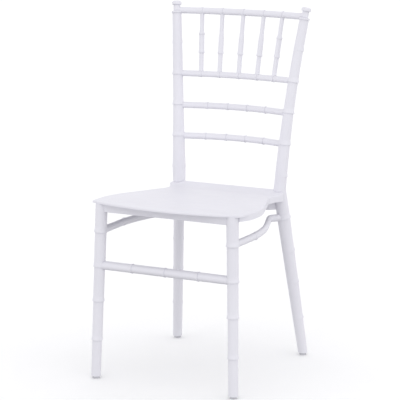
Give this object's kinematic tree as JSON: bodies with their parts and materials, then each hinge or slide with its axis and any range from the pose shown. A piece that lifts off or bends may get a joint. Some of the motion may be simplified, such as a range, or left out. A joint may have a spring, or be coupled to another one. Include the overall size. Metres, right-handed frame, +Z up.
{
  "type": "chiavari chair",
  "caption": "Rigid white resin chiavari chair with cane-like ringed legs and posts, bowed back rails, turned spindles and a waisted moulded seat.",
  "frame": {"origin": "on the floor under the middle of the chair's bounding box", "axes": "+Z up, the chair faces -Y, +X is on the right when looking at the chair from the front"},
  "size_m": [0.417, 0.482, 0.9066],
  "materials": {
    "white_resin": "satin moulded white",
    "glide_plastic": "matt dark grey",
    "screw_steel": "zinc plated",
    "insert_brass": "plain turned"
  },
  "bodies": {
    "root": {"seat_panel": "white_resin", "front_seat_rail": "white_resin", "rear_seat_rail": "white_resin", "front_leg_left": "white_resin", "front_leg_right": "white_resin", "rear_post_left": "white_resin", "rear_post_right": "white_resin", "front_stretcher": "white_resin", "side_brace_left": "white_resin", "side_brace_right": "white_resin", "top_rail": "white_resin", "spindle_rail": "white_resin", "upper_cross_rail": "white_resin", "lower_cross_rail": "white_resin", "spindle_1": "white_resin", "spindle_2": "white_resin", "spindle_3": "white_resin", "spindle_4": "white_resin", "spindle_5": "white_resin", "glides": "glide_plastic", "seat_screws": "screw_steel", "seat_inserts": "insert_brass"}
  },
  "joints": []
}
